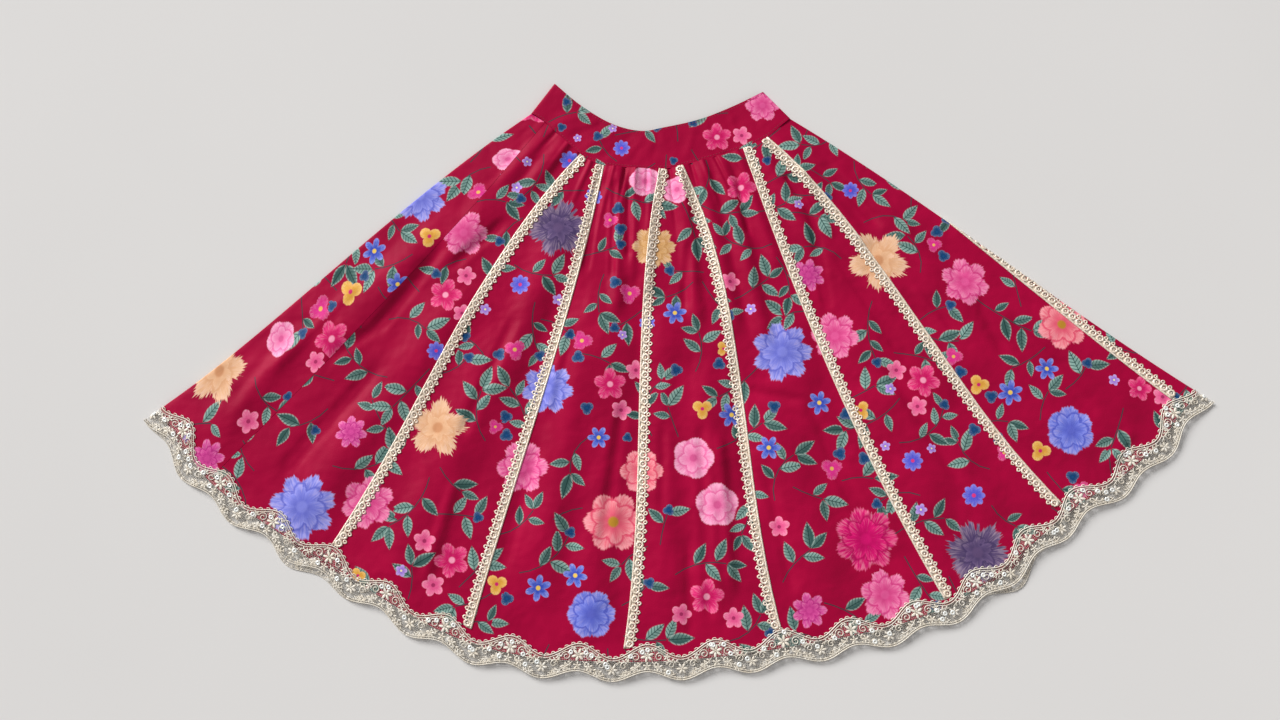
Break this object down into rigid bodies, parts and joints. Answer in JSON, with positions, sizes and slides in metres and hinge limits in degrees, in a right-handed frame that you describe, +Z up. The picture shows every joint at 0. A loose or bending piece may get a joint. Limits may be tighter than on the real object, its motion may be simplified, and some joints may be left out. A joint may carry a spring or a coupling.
{
  "type": "lehenga skirt",
  "caption": "Child's flared lehenga skirt laid flat, front up: two floral printed panels, fourteen beaded trims down the skirt, a folded waistband and a scalloped lace hem.",
  "frame": {"origin": "bottom centre of the part's box, on the surface that the skirt lies on", "axes": "+X to the right across the skirt as it lies, +Y from the hem towards the waistband, +Z up out of the front"},
  "size_m": [1.1656, 0.661, 0.0095],
  "materials": {
    "printed_silk": "soft satin sheen, printed with flowers and leaves",
    "beaded_trim": "ivory and pale gold beads on a cord edge",
    "metallic_lace": "silver and pale gold thread with clear sequins"
  },
  "bodies": {
    "root": {"hem_lace": "metallic_lace", "panel_back": "printed_silk", "panel_front": "printed_silk", "trim_1": "beaded_trim", "trim_10": "beaded_trim", "trim_11": "beaded_trim", "trim_12": "beaded_trim", "trim_13": "beaded_trim", "trim_14": "beaded_trim", "trim_2": "beaded_trim", "trim_3": "beaded_trim", "trim_4": "beaded_trim", "trim_5": "beaded_trim", "trim_6": "beaded_trim", "trim_7": "beaded_trim", "trim_8": "beaded_trim", "trim_9": "beaded_trim", "waistband": "printed_silk"}
  },
  "joints": []
}
